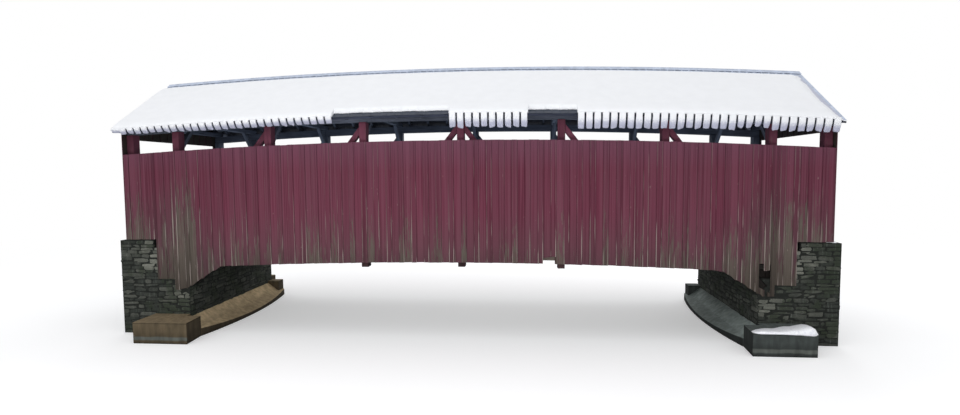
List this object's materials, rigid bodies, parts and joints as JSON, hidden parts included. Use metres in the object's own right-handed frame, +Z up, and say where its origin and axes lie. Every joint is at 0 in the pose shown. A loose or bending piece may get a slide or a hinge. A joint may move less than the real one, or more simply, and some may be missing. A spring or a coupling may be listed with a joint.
{
  "type": "covered timber road bridge",
  "caption": "Single-span covered timber road bridge with kingpost trusses and arches, red board siding, snowy gable roof and stone abutments.",
  "frame": {"origin": "middle of the span, on the centre line of the road, at the level of the water at the abutments", "axes": "+X along the bridge, +Y across it away from the side that the picture shows, +Z up"},
  "size_m": [22.116, 7.74, 8.8924],
  "materials": {
    "rubble_stone": "dark mossy dry-laid rubble",
    "concrete": "stained cast concrete",
    "bare_timber": "dark weathered sawn timber",
    "red_timber": "worn red paint on heavy timber",
    "deck_planks": "worn plank",
    "roof_metal": "dark ribbed sheet",
    "dark_board": "dark board",
    "red_boards": "worn wine-red paint, grey wood low down",
    "snow": "settled snow"
  },
  "bodies": {
    "root": {"abutment_left": "rubble_stone", "abutment_right": "rubble_stone", "footing_left": "concrete", "footing_right": "concrete", "bed_timbers_left": "bare_timber", "bed_timbers_right": "bare_timber", "lower_chord_near": "bare_timber", "lower_chord_far": "bare_timber", "upper_chord_near": "red_timber", "upper_chord_far": "red_timber", "posts_near": "red_timber", "posts_far": "red_timber", "braces_near": "red_timber", "braces_far": "red_timber", "arches_near": "bare_timber", "arches_far": "bare_timber", "floor_beams": "bare_timber", "floor_joists": "bare_timber", "deck": "deck_planks", "wheel_guards": "deck_planks", "tie_beams": "bare_timber", "knee_braces": "bare_timber", "rafters_near": "bare_timber", "rafters_far": "bare_timber", "roof_laths_near": "bare_timber", "roof_laths_far": "bare_timber", "roof_near": "roof_metal", "roof_far": "roof_metal", "ridge_cap": "roof_metal", "eave_board_near": "dark_board", "eave_board_far": "dark_board", "siding_rails_near": "bare_timber", "siding_rails_far": "bare_timber", "siding_near_middle": "red_boards", "siding_near_left": "red_boards", "siding_near_right": "red_boards", "siding_far_middle": "red_boards", "siding_far_left": "red_boards", "siding_far_right": "red_boards", "gable_left": "red_boards", "gable_right": "red_boards", "portal_jambs": "red_boards", "roof_snow_near": "snow", "roof_snow_far": "snow"}
  },
  "joints": []
}
